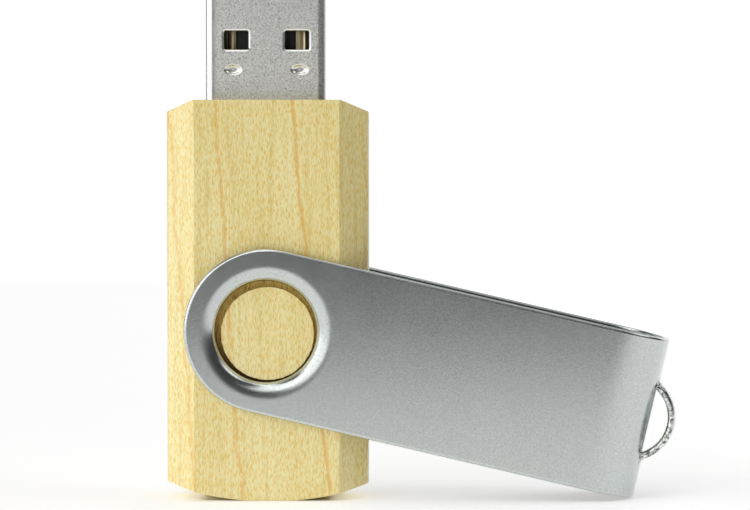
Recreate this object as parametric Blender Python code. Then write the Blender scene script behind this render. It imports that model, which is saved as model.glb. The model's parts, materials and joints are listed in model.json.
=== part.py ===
"""USB flash drive with a wooden body and a folded metal swivel clip.

The drive stands upright on the small flat of its rounded lower end, with the plug up.
+X is towards the clip's folded end, +Y is the back, +Z is up, and all lengths are in metres.
The origin is on the flat that the body stands on, below the middle of the body.
"""
import math

import bmesh
import bpy
from mathutils import Vector

MM = 0.001
GAP = 0.3 * MM                      # clearance between neighbouring pieces

# Wooden body
BODY_WIDTH = 20.4 * MM
BODY_DEPTH = 10.0 * MM
BODY_HEIGHT = 40.2 * MM
LONG_EDGE_CHAMFER = 2.9 * MM        # the four upright edges, at 45 degrees
TOP_CORNER_RUN = 2.8 * MM           # the sloped top corners, along X
TOP_CORNER_DROP = 1.15 * MM
BASE_RADIUS = 31.0 * MM             # the rounded lower end
BASE_CENTRE_X = 0.3 * MM            # its arc is a little off the middle
BASE_FLAT = 4.4 * MM                # the flat that it stands on, along X
CHAMFER_SOFTENING = 1.2 * MM        # radius between a chamfer and a side face
EDGE_SOFTENING = 0.5 * MM           # radius between a chamfer and a broad face

# Swivel clip, a folded strip of sheet
PIVOT_X = -0.05 * MM
PIVOT_Z = 16.89 * MM
CLIP_ANGLE = math.radians(13.05)    # how far the clip hangs below level
CLIP_SHEET = 0.7 * MM
CLIP_WIDTH = 16.5 * MM
CLIP_REACH = 39.95 * MM             # pivot to the outside of the fold
CLIP_SIDE_GAP = 0.3 * MM            # between each arm and the body
HOLE_RADIUS = 5.35 * MM             # at the middle of the sheet
HOLE_SHIFT_X = 0.035 * MM           # the hole is a little off the middle of the round end
HOLE_SHIFT_Z = -0.155 * MM
DISH_RADIUS = 6.80 * MM
DISH_SHIFT_X = 0.05 * MM            # the dish's outer edge is a little off the hole's middle
DISH_SHIFT_Z = 0.0 * MM
DISH_DEPTH = 0.47 * MM
DISH_CURVE = 3.0                    # how quickly the dish steepens towards the hole
FOLD_DEPTH = 5.7 * MM               # of the fold along the clip, at mid-sheet
FOLD_POWER = 2.0 / 3.0              # makes the arms bend gradually into the fold

# Keyring loop, a strip of the fold pushed outwards
LOOP_WIDTH = 2.6 * MM               # along Y
LOOP_RELIEF = 0.25 * MM             # slit on each side of the strip
LOOP_OFFSET_Y = -1.0 * MM
LOOP_LOW = -4.1 * MM
LOOP_HIGH = 3.5 * MM
LOOP_RISE = 2.5 * MM

# Round boss left standing in an annular groove, one on each broad face
BOSS_RADIUS = 4.67 * MM
BOSS_SHIFT_X = 0.14 * MM            # the clip has this much play on the boss
BOSS_SHIFT_Z = -0.09 * MM
GROOVE_RADIUS = 7.1 * MM
GROOVE_DEPTH = 0.80 * MM

# USB-A plug
PLUG_X = -0.25 * MM
PLUG_WIDTH = 12.0 * MM
PLUG_DEPTH = 4.5 * MM
PLUG_EXPOSED = 12.15 * MM
PLUG_BURIED = 6.6 * MM
SHELL_SHEET = 0.3 * MM
SHELL_CORNER = 0.65 * MM
SEAM_WIDTH = 0.12 * MM
WINDOW_WIDTH = 2.4 * MM
WINDOW_HEIGHT = 1.85 * MM
WINDOW_CORNER = 0.35 * MM
WINDOW_X = 3.06 * MM
PRESSING_SHIFT_X = 0.14 * MM        # windows and dimples, off the shell's middle
WINDOW_FROM_TIP = 6.1 * MM          # tip to the window's middle
DIMPLE_X = 3.36 * MM
DIMPLE_FROM_TIP = 9.05 * MM
DIMPLE_LENGTH = 1.75 * MM
DIMPLE_HEIGHT = 1.1 * MM
DIMPLE_DEPTH = 0.14 * MM

# Contacts and their carrier
TONGUE_SETBACK = 0.45 * MM          # tip of the shell to the tip of the tongue
TONGUE_FRONT_Y = 0.0 * MM
CONTACT_WIDTH = 1.0 * MM
CONTACT_SHEET = 0.25 * MM
CONTACT_PITCH_X = {
    "contact_vbus": 3.5 * MM, "contact_data_minus": 1.0 * MM,
    "contact_data_plus": -1.0 * MM, "contact_ground": -3.5 * MM}
POWER_CONTACT_SETBACK = 1.5 * MM
DATA_CONTACT_SETBACK = 2.5 * MM
CARRIER_TOP = 1.3 * MM              # top of the carrier's rear block, above the body's top
CARRIER_BOTTOM = -5.6 * MM

# Circuit board and the pocket that holds it
POCKET_FLOOR = 10.0 * MM
BOARD_SHEET = 0.8 * MM
BOARD_WIDTH = 12.0 * MM
BOARD_TOP = -(PLUG_BURIED + GAP)    # just below the shell, from the body's top
BOARD_BOTTOM = -28.4 * MM
TAIL_OVERLAP = 1.6 * MM             # contact tails over the board's edge
TAIL_FRONT_Y = -BOARD_SHEET / 2 - GAP - CONTACT_SHEET   # the tails lie over the board's front
JOG_TOP = -2.2 * MM                 # where each contact steps forward to the board
JOG_BOTTOM = -3.4 * MM

OUTLINE_STEPS = 4                   # segments in a small rounded corner
BASE_STEPS = 20
TURN_STEPS = 48                     # segments round the boss
EYE_STEPS = 14                      # segments in a quarter of the clip's rounded end
FOLD_STEPS = 7                      # segments in half of the fold
LOOP_STEPS = 12


def clear_scene():
    for item in list(bpy.data.objects):
        bpy.data.objects.remove(item, do_unlink=True)


def make_material(name, colour, roughness, metallic):
    material = bpy.data.materials.new(name)
    material.use_nodes = True
    shader = material.node_tree.nodes["Principled BSDF"]
    shader.inputs["Base Color"].default_value = (*colour, 1.0)
    shader.inputs["Roughness"].default_value = roughness
    shader.inputs["Metallic"].default_value = metallic
    return material


def add_mesh(name, mesh_data, material=None):
    """Turn a finished bmesh into an object, with its faces pointing out."""
    bmesh.ops.recalc_face_normals(mesh_data, faces=mesh_data.faces)
    mesh = bpy.data.meshes.new(name)
    mesh_data.to_mesh(mesh)
    mesh_data.free()
    item = bpy.data.objects.new(name, mesh)
    bpy.context.collection.objects.link(item)
    if material is not None:
        mesh.materials.append(material)
    return item


def add_empty(name, place):
    item = bpy.data.objects.new(name, None)
    item.location = place
    bpy.context.collection.objects.link(item)
    return item


def shade_round(item, degrees=35.0):
    item.data.shade_smooth()
    item.data.set_sharp_from_angle(angle=math.radians(degrees))


def rounded_outline(corners, radius, steps=OUTLINE_STEPS):
    """A closed outline of 2-D corner points, with every corner rounded.

    radius is one number, or one number for each corner.
    """
    radii = radius if isinstance(radius, (list, tuple)) else [radius] * len(corners)
    outline = []
    count = len(corners)
    for index, corner in enumerate(corners):
        here = Vector(corner)
        to_last = (Vector(corners[index - 1]) - here).normalized()
        to_next = (Vector(corners[(index + 1) % count]) - here).normalized()
        if radii[index] <= 0.0:
            outline.append(here)
            continue
        half_angle = to_last.angle(to_next) / 2.0
        inwards = (to_last + to_next).normalized()
        centre = here + inwards * (radii[index] / math.sin(half_angle))
        first = here + to_last * (radii[index] / math.tan(half_angle)) - centre
        last = here + to_next * (radii[index] / math.tan(half_angle)) - centre
        sweep = first.angle(last)
        for step in range(steps + 1):
            part = step / steps
            direction = (first * math.sin((1.0 - part) * sweep)
                         + last * math.sin(part * sweep)) / math.sin(sweep)
            outline.append(centre + direction)
    return outline


def rectangle(width, height, centre=(0.0, 0.0)):
    x, y = centre
    return [(x - width / 2, y - height / 2), (x + width / 2, y - height / 2),
            (x + width / 2, y + height / 2), (x - width / 2, y + height / 2)]


def prism(name, outline, low, high, along, material=None):
    """A closed prism. The outline lies across the axis `along`, from low to high on it."""
    place = {"X": lambda a, b, c: (c, a, b),
             "Y": lambda a, b, c: (a, c, b),
             "Z": lambda a, b, c: (a, b, c)}[along]
    data = bmesh.new()
    rings = [[data.verts.new(place(a, b, level)) for a, b in outline] for level in (low, high)]
    data.faces.new(rings[0])
    data.faces.new(rings[1])
    count = len(outline)
    for index in range(count):
        after = (index + 1) % count
        data.faces.new((rings[0][index], rings[0][after], rings[1][after], rings[1][index]))
    return add_mesh(name, data, material)


def as_tool(item):
    """Mark an object as a cutter or guide that isn't a piece of the drive."""
    item.hide_render = True
    item.display_type = "WIRE"
    return item


def combine(item, tool, operation):
    as_tool(tool)
    modifier = item.modifiers.new(tool.name, "BOOLEAN")
    modifier.operation = operation
    modifier.solver = "EXACT"
    modifier.object = tool


# ---------------------------------------------------------------- wooden body

def arc_height(from_centre):
    """Height of the rounded lower end's arc above its lowest point."""
    return BASE_RADIUS - math.sqrt(BASE_RADIUS ** 2 - from_centre ** 2)


def body_front_outline():
    """The body seen from the front: sloped top corners and a rounded lower end."""
    half = BODY_WIDTH / 2
    lift = arc_height(BASE_FLAT / 2)
    left, right = [], []
    for step in range(BASE_STEPS + 1):
        x = -half + BODY_WIDTH * step / BASE_STEPS
        from_centre = x - BASE_CENTRE_X
        if abs(from_centre) > BASE_FLAT / 2:
            side = left if from_centre < 0 else right
            side.append((x, arc_height(from_centre) - lift))
    flat = [(BASE_CENTRE_X - BASE_FLAT / 2, 0.0), (BASE_CENTRE_X + BASE_FLAT / 2, 0.0)]
    shoulder = BODY_HEIGHT - TOP_CORNER_DROP
    top = [(half, shoulder), (half - TOP_CORNER_RUN, BODY_HEIGHT),
           (-half + TOP_CORNER_RUN, BODY_HEIGHT), (-half, shoulder)]
    return left + flat + right + top


def body_section():
    """The body seen from above: a rectangle with its four corners cut off."""
    x, y = BODY_WIDTH / 2, BODY_DEPTH / 2
    cut = LONG_EDGE_CHAMFER
    corners = [(-x + cut, -y), (x - cut, -y), (x, -y + cut), (x, y - cut),
               (x - cut, y), (-x + cut, y), (-x, y - cut), (-x, -y + cut)]
    at_face, at_side = EDGE_SOFTENING, CHAMFER_SOFTENING
    radii = [at_face, at_face, at_side, at_side] * 2
    return rounded_outline(corners, radii, steps=3)


def groove_ring(name, side):
    """The ring of wood cut away round one boss. side is -1 at the front, 1 at the back."""
    surface = side * BODY_DEPTH / 2
    floor = surface - side * GROOVE_DEPTH
    beyond = surface + side * 1.0 * MM
    profile = [(BOSS_RADIUS, floor), (GROOVE_RADIUS, floor),
               (GROOVE_RADIUS, beyond), (BOSS_RADIUS, beyond)]
    data = bmesh.new()
    rings = []
    for step in range(TURN_STEPS):
        angle = 2.0 * math.pi * step / TURN_STEPS
        rings.append([data.verts.new((radius * math.cos(angle), y, radius * math.sin(angle)))
                      for radius, y in profile])
    for step in range(TURN_STEPS):
        here, after = rings[step], rings[(step + 1) % TURN_STEPS]
        for index in range(len(profile)):
            following = (index + 1) % len(profile)
            data.faces.new((here[index], here[following], after[following], after[index]))
    ring = add_mesh(name, data)
    ring.location = (PIVOT_X + BOSS_SHIFT_X, 0.0, PIVOT_Z + BOSS_SHIFT_Z)
    return ring


def make_body():
    wood = make_material("maple", (0.80, 0.63, 0.32), 0.55, 0.0)
    depth = BODY_DEPTH / 2 + 1.0 * MM
    body = prism("wooden_body", body_front_outline(), -depth, depth, "Y", wood)
    combine(body, prism("section_guide", body_section(), -1.0 * MM,
                        BODY_HEIGHT + 1.0 * MM, "Z"), "INTERSECT")
    mouth = rectangle(PLUG_WIDTH + 2 * GAP, PLUG_DEPTH + 2 * GAP, (PLUG_X, 0.0))
    combine(body, prism("pocket_cutter", rounded_outline(mouth, SHELL_CORNER + GAP),
                        POCKET_FLOOR, BODY_HEIGHT + 1.0 * MM, "Z"), "DIFFERENCE")
    combine(body, groove_ring("front_groove_cutter", -1), "DIFFERENCE")
    combine(body, groove_ring("back_groove_cutter", 1), "DIFFERENCE")
    return body


# ---------------------------------------------------------------- swivel clip

ARM_Y = BODY_DEPTH / 2 + CLIP_SIDE_GAP + CLIP_SHEET / 2       # middle of each arm's sheet
FOLD_X = CLIP_REACH - CLIP_SHEET / 2 - FOLD_DEPTH             # where the arms start to bend
HALF_WIDTH = CLIP_WIDTH / 2


def width_lines():
    """Places across the clip's width, close together over the loop."""
    loop = [LOOP_LOW + (LOOP_HIGH - LOOP_LOW) * step / LOOP_STEPS
            for step in range(LOOP_STEPS + 1)]
    middle = (HALF_WIDTH + LOOP_HIGH) / 2
    return [-HALF_WIDTH, -middle] + loop + [middle, HALF_WIDTH]


def fold_angles():
    """Angles round the fold, from the front arm to the back arm, with the loop's edges."""
    half_slot = LOOP_WIDTH / 2 + LOOP_RELIEF
    edges = [math.asin((LOOP_OFFSET_Y + shift) / ARM_Y)
             for shift in (-half_slot, -LOOP_WIDTH / 2, 0.0, LOOP_WIDTH / 2, half_slot)]
    front = [-math.pi / 2 + (edges[0] + math.pi / 2) * step / FOLD_STEPS
             for step in range(FOLD_STEPS)]
    back = [edges[-1] + (math.pi / 2 - edges[-1]) * step / FOLD_STEPS
            for step in range(1, FOLD_STEPS + 1)]
    return front, edges, back


def loop_rise(across):
    """How far the loop's strip stands out of the fold, as an arc of a circle."""
    half = (LOOP_HIGH - LOOP_LOW) / 2
    offset = across - (LOOP_HIGH + LOOP_LOW) / 2
    radius = (half ** 2 + LOOP_RISE ** 2) / (2 * LOOP_RISE)
    return math.sqrt(max(radius ** 2 - offset ** 2, 0.0)) - (radius - LOOP_RISE)


def add_band(data, angles, across, rises=False):
    """Quads between neighbouring stations of the folded strip."""
    columns = []
    for angle in angles:
        reach = FOLD_DEPTH * max(math.cos(angle), 0.0) ** FOLD_POWER
        column = []
        for z in across:
            rise = loop_rise(z) if rises else 0.0
            column.append(data.verts.new((FOLD_X + reach + rise, ARM_Y * math.sin(angle), z)))
        columns.append(column)
    for here, after in zip(columns, columns[1:]):
        for index in range(len(across) - 1):
            data.faces.new((here[index], here[index + 1], after[index + 1], after[index]))


def add_fold(data):
    """The bend, with a slot and the keyring loop's strip standing out of it."""
    front, slot, back = fold_angles()
    lines = width_lines()
    slack = 0.001 * MM
    add_band(data, front + slot[:1], lines)
    add_band(data, slot[-1:] + back, lines)
    add_band(data, slot[1:-1], [z for z in lines if LOOP_LOW - slack < z < LOOP_HIGH + slack],
             rises=True)
    add_band(data, slot, [z for z in lines if z < LOOP_LOW + slack])
    add_band(data, slot, [z for z in lines if z > LOOP_HIGH - slack])


def dish_offset(radius):
    """How far the sheet is pressed towards the body round the hole."""
    if radius >= DISH_RADIUS:
        return 0.0
    part = (radius - HOLE_RADIUS) / (DISH_RADIUS - HOLE_RADIUS)
    return DISH_DEPTH * (1.0 - part) ** DISH_CURVE


def eye_outline():
    """The arm's outline round the pivot: a half circle, then straight to x = half the width."""
    round_end = []
    for step in range(2 * EYE_STEPS + 1):
        angle = math.pi / 2 + math.pi * step / (2 * EYE_STEPS)
        round_end.append((HALF_WIDTH * math.cos(angle), HALF_WIDTH * math.sin(angle)))
    straight = [HALF_WIDTH * step / 5 for step in range(1, 5)]
    bottom = [(x, -HALF_WIDTH) for x in straight]
    end = [(HALF_WIDTH, z) for z in width_lines()]
    top = [(x, HALF_WIDTH) for x in reversed(straight)]
    return round_end + bottom + end + top


def add_eye(data, side):
    """One arm's rounded end, with the pressed dish and its hole."""
    radii = [HOLE_RADIUS + (DISH_RADIUS - HOLE_RADIUS) * step / 5 for step in range(6)]
    outline = eye_outline()
    rings = []
    for radius in radii:
        y = side * (ARM_Y - dish_offset(radius))
        part = (radius - HOLE_RADIUS) / (DISH_RADIUS - HOLE_RADIUS)
        centre_x = HOLE_SHIFT_X + DISH_SHIFT_X * part
        centre_z = HOLE_SHIFT_Z + DISH_SHIFT_Z * part
        ring = []
        for x, z in outline:
            length = math.hypot(x, z)
            ring.append(data.verts.new((centre_x + radius * x / length, y,
                                        centre_z + radius * z / length)))
        rings.append(ring)
    rings.append([data.verts.new((x, side * ARM_Y, z)) for x, z in outline])
    for inner, outer in zip(rings, rings[1:]):
        for index in range(len(outline)):
            after = (index + 1) % len(outline)
            data.faces.new((inner[index], inner[after], outer[after], outer[index]))


def add_arm(data, side):
    lines = width_lines()
    near = [data.verts.new((HALF_WIDTH, side * ARM_Y, z)) for z in lines]
    far = [data.verts.new((FOLD_X, side * ARM_Y, z)) for z in lines]
    for index in range(len(lines) - 1):
        data.faces.new((near[index], near[index + 1], far[index + 1], far[index]))


def make_clip():
    """The clip's sheet is modelled at its middle and then given its thickness.

    Its origin ends up in the middle of the hole, on the axis it swivels about.
    """
    steel = make_material("satin_plated_steel", (0.62, 0.63, 0.63), 0.34, 1.0)
    data = bmesh.new()
    for side in (-1, 1):
        add_eye(data, side)
        add_arm(data, side)
    add_fold(data)
    bmesh.ops.remove_doubles(data, verts=data.verts, dist=0.001 * MM)
    bmesh.ops.translate(data, verts=data.verts, vec=(-HOLE_SHIFT_X, 0.0, -HOLE_SHIFT_Z))
    clip = add_mesh("swivel_clip", data, steel)
    thickness = clip.modifiers.new("sheet", "SOLIDIFY")
    thickness.thickness = CLIP_SHEET
    thickness.offset = 0.0
    thickness.use_even_offset = True
    shade_round(clip)
    clip.location = (PIVOT_X, 0.0, PIVOT_Z)
    clip.rotation_euler = (0.0, CLIP_ANGLE, 0.0)
    return clip


# ---------------------------------------------------------------- plug

def make_shell(module):
    """The plug's shell: a folded sheet tube with two windows on each broad face."""
    nickel = make_material("nickel_plate", (0.60, 0.60, 0.58), 0.35, 1.0)
    outside = rounded_outline(rectangle(PLUG_WIDTH, PLUG_DEPTH), SHELL_CORNER)
    inside = rounded_outline(rectangle(PLUG_WIDTH - 2 * SHELL_SHEET, PLUG_DEPTH - 2 * SHELL_SHEET),
                             SHELL_CORNER - SHELL_SHEET)
    shell = prism("usb_shell", outside, -PLUG_BURIED, PLUG_EXPOSED, "Z", nickel)
    beyond = 1.0 * MM
    tools = [prism("shell_bore_cutter", inside, -PLUG_BURIED - beyond,
                   PLUG_EXPOSED + beyond, "Z"),
             prism("seam_cutter", rectangle(SEAM_WIDTH, 2.0 * MM, (0.0, PLUG_DEPTH / 2)),
                   -PLUG_BURIED - beyond, PLUG_EXPOSED + beyond, "Z")]
    for side, name in ((-1, "left"), (1, "right")):
        opening = rectangle(WINDOW_WIDTH, WINDOW_HEIGHT,
                            (PRESSING_SHIFT_X + side * WINDOW_X,
                             PLUG_EXPOSED - WINDOW_FROM_TIP))
        tools.append(prism(name + "_window_cutter", rounded_outline(opening, WINDOW_CORNER, 3),
                           -PLUG_DEPTH, PLUG_DEPTH, "Y"))
        tools.append(dimple_tool(name + "_dimple_cutter", side))
    for tool in tools:
        tool.parent = module
        combine(shell, tool, "DIFFERENCE")
    shell.parent = module
    shade_round(shell)
    return shell


def dimple_tool(name, side):
    """A flat ball that presses one oval dimple into the shell's front."""
    reach = 2.0 * DIMPLE_DEPTH
    spread = 1.0 / math.sqrt(1.0 - (1.0 - DIMPLE_DEPTH / reach) ** 2)
    data = bmesh.new()
    bmesh.ops.create_uvsphere(data, u_segments=16, v_segments=8, radius=1.0)
    size = Vector((DIMPLE_LENGTH / 2 * spread, reach, DIMPLE_HEIGHT / 2 * spread))
    centre = Vector((PRESSING_SHIFT_X + side * DIMPLE_X,
                     -PLUG_DEPTH / 2 - reach + DIMPLE_DEPTH,
                     PLUG_EXPOSED - DIMPLE_FROM_TIP))
    for vertex in data.verts:
        vertex.co = centre + vertex.co * size
    return add_mesh(name, data)


def make_carrier(module):
    """The black plastic tongue and rear block, with a channel for each contact."""
    plastic = make_material("black_plastic", (0.02, 0.02, 0.02), 0.45, 0.0)
    half = PLUG_WIDTH / 2 - SHELL_SHEET - GAP
    wall = PLUG_DEPTH / 2 - SHELL_SHEET - GAP
    tip = PLUG_EXPOSED - TONGUE_SETBACK
    side_view = [(-wall, CARRIER_BOTTOM), (wall, CARRIER_BOTTOM), (wall, tip),
                 (TONGUE_FRONT_Y, tip), (TONGUE_FRONT_Y, CARRIER_TOP), (-wall, CARRIER_TOP)]
    carrier = prism("contact_carrier", side_view, -half, half, "X", plastic)
    channel = CONTACT_WIDTH + 2 * GAP
    for name, x in CONTACT_PITCH_X.items():
        outline = contact_outline(POWER_CONTACT_SETBACK, GAP)
        tool = prism(name + "_channel_cutter", outline, x - channel / 2, x + channel / 2, "X")
        tool.parent = module
        combine(carrier, tool, "DIFFERENCE")
    carrier.parent = module
    return carrier


def contact_outline(setback, grow=0.0):
    """One contact from the side: straight on the tongue, then stepped forward to the board.

    grow widens it all round, to give the channel that the contact lies in.
    """
    front = TONGUE_FRONT_Y - (3.0 * GAP if grow else 0.0)
    back = TONGUE_FRONT_Y + CONTACT_SHEET + grow
    tail_front = TAIL_FRONT_Y - grow
    tail_back = TAIL_FRONT_Y + CONTACT_SHEET + grow
    tip = PLUG_EXPOSED - setback + grow
    end = BOARD_TOP - TAIL_OVERLAP - grow
    if grow:
        return [(front, tip), (back, tip), (back, JOG_BOTTOM - grow), (tail_back, JOG_BOTTOM - grow),
                (tail_back, end), (tail_front, end), (tail_front, JOG_TOP + grow),
                (front, JOG_TOP + grow)]
    return [(front, tip), (back, tip), (back, JOG_TOP), (tail_back, JOG_BOTTOM),
            (tail_back, end), (tail_front, end), (tail_front, JOG_BOTTOM), (front, JOG_TOP)]


def make_contacts(module):
    gold = make_material("gold_plate", (0.83, 0.62, 0.30), 0.28, 1.0)
    for name, x in CONTACT_PITCH_X.items():
        is_power = abs(x) > 2.0 * MM
        setback = POWER_CONTACT_SETBACK if is_power else DATA_CONTACT_SETBACK
        contact = prism(name, contact_outline(setback), x - CONTACT_WIDTH / 2,
                        x + CONTACT_WIDTH / 2, "X", gold)
        contact.parent = module


# ---------------------------------------------------------------- circuit board

def component(name, module, material, size, place, face):
    """A part soldered to the board: size is (x, y, z), place is (x, z), face is -1 or 1.

    Its two upper long edges are bevelled, as on a moulded package.
    """
    width, depth, height = size
    near = face * (BOARD_SHEET / 2 + GAP)
    far = near + face * depth
    bevel = min(0.12 * MM, depth / 3)
    corners = [(-height / 2, near), (height / 2, near),
               (height / 2, far - face * bevel), (height / 2 - bevel, far),
               (-height / 2 + bevel, far), (-height / 2, far - face * bevel)]
    outline = [(y, z + place[1]) for z, y in corners]
    item = prism(name, outline, place[0] - width / 2, place[0] + width / 2, "X", material)
    item.parent = module
    return item


def make_board(module):
    resin = make_material("board_green", (0.03, 0.16, 0.07), 0.45, 0.0)
    outline = rounded_outline(rectangle(BOARD_WIDTH, BOARD_TOP - BOARD_BOTTOM,
                                        (0.0, (BOARD_TOP + BOARD_BOTTOM) / 2)), 0.5 * MM, 3)
    board = prism("circuit_board", outline, -BOARD_SHEET / 2, BOARD_SHEET / 2, "Y", resin)
    board.parent = module


def make_components(module):
    package = make_material("chip_package", (0.03, 0.03, 0.03), 0.6, 0.0)
    ceramic = make_material("capacitor_ceramic", (0.45, 0.31, 0.18), 0.5, 0.0)
    thick_film = make_material("resistor_film", (0.05, 0.05, 0.06), 0.4, 0.0)
    can = make_material("crystal_can", (0.66, 0.65, 0.62), 0.3, 1.0)
    front, back = -1, 1
    component("controller_chip", module, package, (7.0 * MM, 0.9 * MM, 7.0 * MM),
              (0.0, -16.6 * MM), front)
    component("flash_memory_chip", module, package, (11.0 * MM, 1.0 * MM, 14.0 * MM),
              (0.0, -18.2 * MM), back)
    component("quartz_crystal", module, can, (3.2 * MM, 0.8 * MM, 2.5 * MM),
              (3.2 * MM, -22.8 * MM), front)
    component("supply_ferrite", module, thick_film, (1.6 * MM, 0.8 * MM, 0.8 * MM),
              (3.5 * MM, -9.4 * MM), front)
    capacitors = [((1.6 * MM, 0.8 * MM, 0.8 * MM), (-3.5 * MM, -9.4 * MM), front),
                  ((0.8 * MM, 0.5 * MM, 1.6 * MM), (4.8 * MM, -14.4 * MM), front),
                  ((0.8 * MM, 0.5 * MM, 1.6 * MM), (-4.8 * MM, -18.8 * MM), front),
                  ((1.6 * MM, 0.5 * MM, 0.8 * MM), (-0.6 * MM, -22.3 * MM), front),
                  ((1.6 * MM, 0.8 * MM, 0.8 * MM), (-3.4 * MM, -9.6 * MM), back)]
    for number, (size, place, face) in enumerate(capacitors, start=1):
        component("capacitor_%d" % number, module, ceramic, size, place, face)
    resistors = [((0.8 * MM, 0.4 * MM, 1.6 * MM), (-1.0 * MM, -10.8 * MM), front),
                 ((0.8 * MM, 0.4 * MM, 1.6 * MM), (1.0 * MM, -10.8 * MM), front),
                 ((1.6 * MM, 0.4 * MM, 0.8 * MM), (-3.6 * MM, -22.3 * MM), front)]
    for number, (size, place, face) in enumerate(resistors, start=1):
        component("resistor_%d" % number, module, thick_film, size, place, face)


def make_epoxy(module):
    """The plug of cured epoxy that holds the board's lower end in the pocket."""
    resin = make_material("cured_epoxy", (0.55, 0.50, 0.36), 0.3, 0.0)
    floor = POCKET_FLOOR - BODY_HEIGHT + GAP
    top = BOARD_BOTTOM + 2.2 * MM
    bottom_of_slot = BOARD_BOTTOM - GAP
    half = PLUG_DEPTH / 2
    slot = BOARD_SHEET / 2 + GAP
    side_view = [(-half, floor), (half, floor), (half, top), (slot, top),
                 (slot, bottom_of_slot), (-slot, bottom_of_slot), (-slot, top), (-half, top)]
    reach = PLUG_WIDTH / 2 - 0.4 * MM
    epoxy = prism("epoxy_anchor", side_view, -reach, reach, "X", resin)
    epoxy.parent = module


def main():
    clear_scene()
    make_body()
    make_clip()
    module = add_empty("module_place", (PLUG_X, 0.0, BODY_HEIGHT))
    make_shell(module)
    make_carrier(module)
    make_contacts(module)
    make_board(module)
    make_components(module)
    make_epoxy(module)


main()
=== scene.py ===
"""Looks of the wooden flash drive: smooth meshes, materials, floor, light and camera.

Lengths are in metres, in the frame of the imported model: +X towards the clip's fold,
+Y to the back and +Z up.
"""
import json
import math

import bmesh
import bpy
from mathutils import Matrix, Vector, noise


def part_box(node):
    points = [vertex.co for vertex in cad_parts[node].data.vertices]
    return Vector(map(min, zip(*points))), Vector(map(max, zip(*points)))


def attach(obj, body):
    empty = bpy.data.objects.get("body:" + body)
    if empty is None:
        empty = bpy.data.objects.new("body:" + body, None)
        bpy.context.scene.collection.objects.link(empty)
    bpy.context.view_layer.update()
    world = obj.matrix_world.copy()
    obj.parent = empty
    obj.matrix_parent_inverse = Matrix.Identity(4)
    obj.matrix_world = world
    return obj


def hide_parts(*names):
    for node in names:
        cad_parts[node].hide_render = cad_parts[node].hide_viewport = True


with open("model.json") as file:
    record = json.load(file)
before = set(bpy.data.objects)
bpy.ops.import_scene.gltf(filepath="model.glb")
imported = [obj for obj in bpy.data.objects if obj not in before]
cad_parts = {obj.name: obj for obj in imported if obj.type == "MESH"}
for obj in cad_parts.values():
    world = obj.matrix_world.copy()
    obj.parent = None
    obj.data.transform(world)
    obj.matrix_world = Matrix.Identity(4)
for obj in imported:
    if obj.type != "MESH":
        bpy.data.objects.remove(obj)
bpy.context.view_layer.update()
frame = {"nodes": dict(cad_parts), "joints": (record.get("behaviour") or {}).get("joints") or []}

MM = 0.001
PIVOT = Vector(frame["joints"][0]["pos_m"])
CLIP_ANGLE = math.radians(13.05)        # how far the clip hangs below level at rest

# Wooden body
LONG_EDGE_CHAMFER = 2.9 * MM
TOP_CORNER_RUN = 2.8 * MM
TOP_CORNER_DROP = 1.15 * MM
BASE_RADIUS = 31.0 * MM
BASE_CENTRE_X = 0.3 * MM
BASE_FLAT = 4.4 * MM
BOSS_CENTRE = PIVOT + Vector((0.14 * MM, 0.0, -0.09 * MM))
BOSS_RADIUS = 4.67 * MM
GROOVE_RADIUS = 7.1 * MM
GROOVE_DEPTH = 0.80 * MM
MOUTH_GAP = 0.07 * MM                   # between the wood and the plug
FACE_EDGE = 0.2 * MM                    # roundings, by how far they reach into each face
SIDE_EDGE = 1.3 * MM
END_EDGE = 0.22 * MM
CUT_EDGE = 0.04 * MM                    # the sharper edges of the grooves and the mouth
RING_LINES = [(-9.2, 0.5), (-5.1, 0.9), (2.7, 0.9), (9.9, 0.4)]    # place in mm, strength
RING_SPAN = 40.0                        # mm of width that the ring lines' ramp covers

# Swivel clip
SHEET = 0.7 * MM
CLIP_WIDTH = 16.5 * MM
CLIP_REACH = 39.95 * MM
ARM_Y = 5.65 * MM
PIVOT_SHIFT = Vector((0.035, 0.0, -0.155)) * MM     # of the joint, from the round end's middle
HOLE_RADIUS = 5.38 * MM
HOLE_SHIFT = Vector((-0.020, 0.0, -0.030)) * MM     # of the hole, from the same middle
DISH_RADIUS = 6.80 * MM
DISH_SHIFT = Vector((0.105, 0.0, -0.125)) * MM      # of its outer edge, from the hole
DISH_DEPTH = 0.47 * MM
DISH_CURVE = 3.0                        # how quickly the dish steepens towards the hole
DISH_RINGS = 14
DISH_CROWDING = 1.3                     # above 1, the rings of vertices crowd towards the hole
LIP_WIDTH = 0.30 * MM                   # round the hole, where the sheet turns in further
LIP_DEPTH = 0.20 * MM
FOLD_DEPTH = 5.7 * MM                   # along the clip, at mid-sheet
FOLD_POWER = 2.0 / 3.0                  # makes the arms bend gradually into the fold
RIM_ROUND = 0.32 * MM
HOLE_RIM = 0.10 * MM
LOOP_WIDTH = 2.6 * MM
LOOP_RELIEF = 0.20 * MM
LOOP_OFFSET_Y = -1.0 * MM
LOOP_LOW = -4.1 * MM
LOOP_HIGH = 3.5 * MM
LOOP_RISE = 2.5 * MM

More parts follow.
